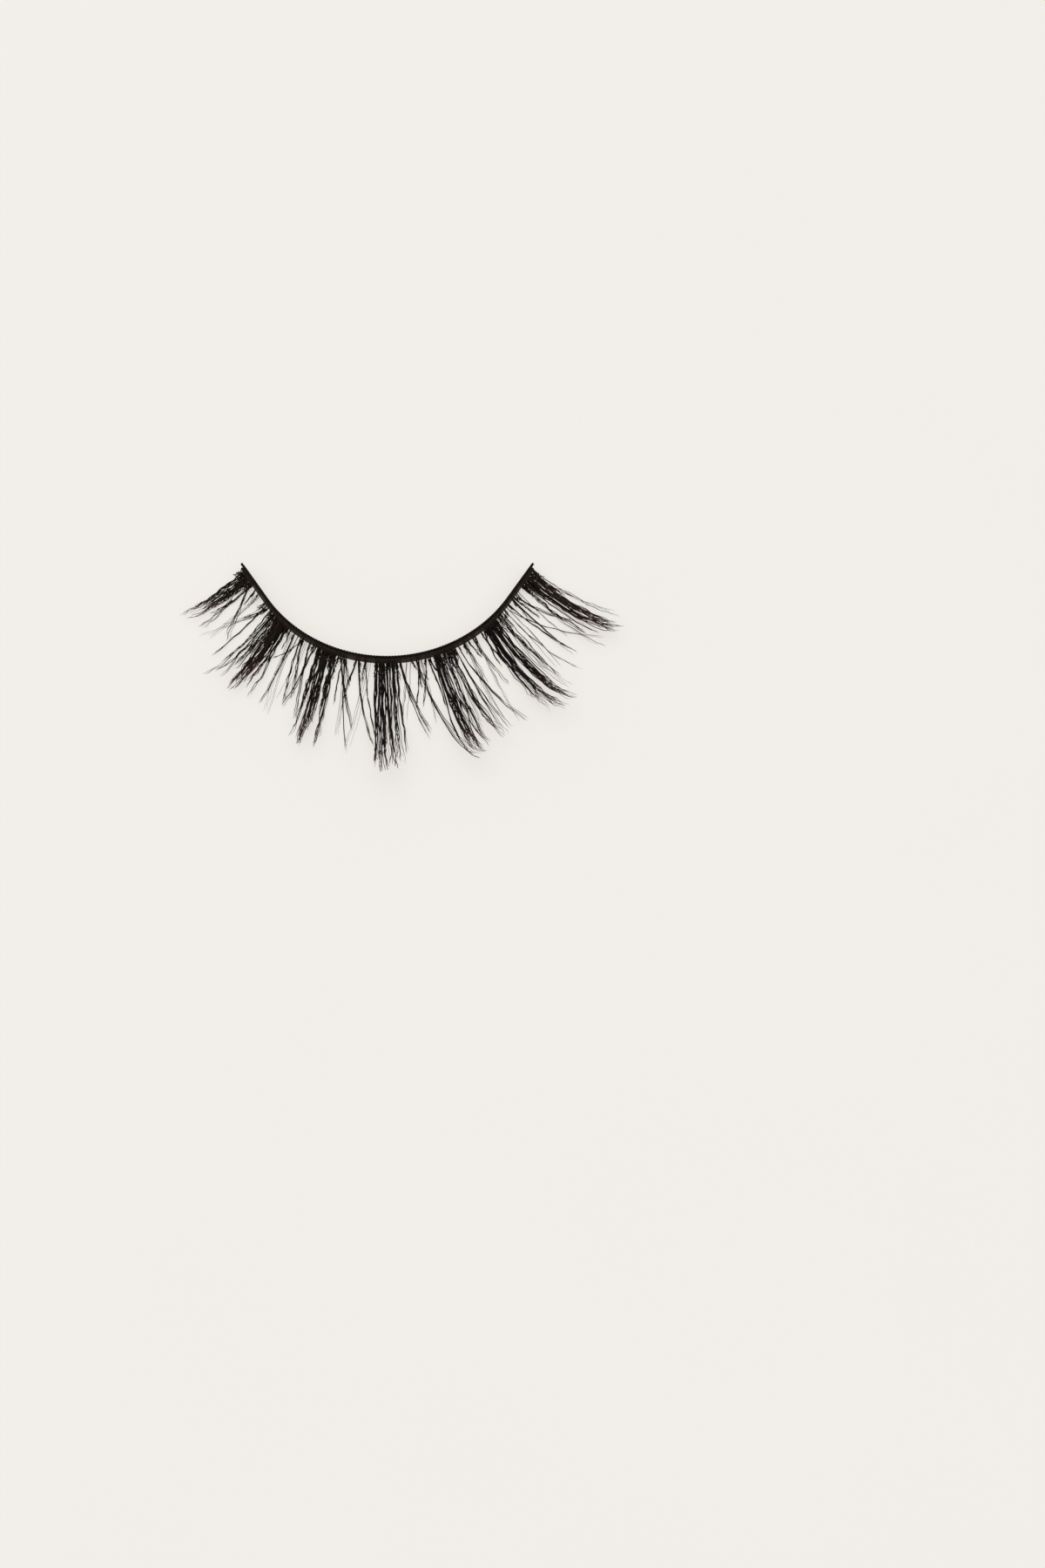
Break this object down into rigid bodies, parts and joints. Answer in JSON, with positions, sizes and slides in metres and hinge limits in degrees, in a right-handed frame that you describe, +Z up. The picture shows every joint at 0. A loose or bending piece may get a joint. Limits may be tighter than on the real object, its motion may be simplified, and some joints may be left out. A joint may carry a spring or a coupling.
{
  "type": "false eyelash strip",
  "caption": "Thin black cotton band curved round the eyelid, with pointed lash locks and sparse crossing wisps fanning outwards and curling up at their tips.",
  "frame": {"origin": "middle of the band's underside, halfway along its curve", "axes": "+Z up from the surface that it rests on, -Y the way the lashes point, +X towards the outer corner of the eye"},
  "size_m": [0.0416, 0.0235, 0.0056],
  "materials": {
    "band_cotton": "matte",
    "thread": "matte",
    "lash_fibre": "satin"
  },
  "bodies": {
    "root": {"band": "band_cotton", "edge_thread": "thread", "lash_lock_1": "lash_fibre", "lash_lock_2": "lash_fibre", "lash_lock_3": "lash_fibre", "lash_lock_4": "lash_fibre", "lash_lock_5": "lash_fibre", "lash_lock_6": "lash_fibre", "lash_lock_7": "lash_fibre", "wisp_tuft_1": "lash_fibre", "wisp_tuft_2": "lash_fibre", "wisp_tuft_3": "lash_fibre", "wisp_tuft_4": "lash_fibre", "wisp_tuft_5": "lash_fibre", "wisp_tuft_6": "lash_fibre"}
  },
  "joints": []
}
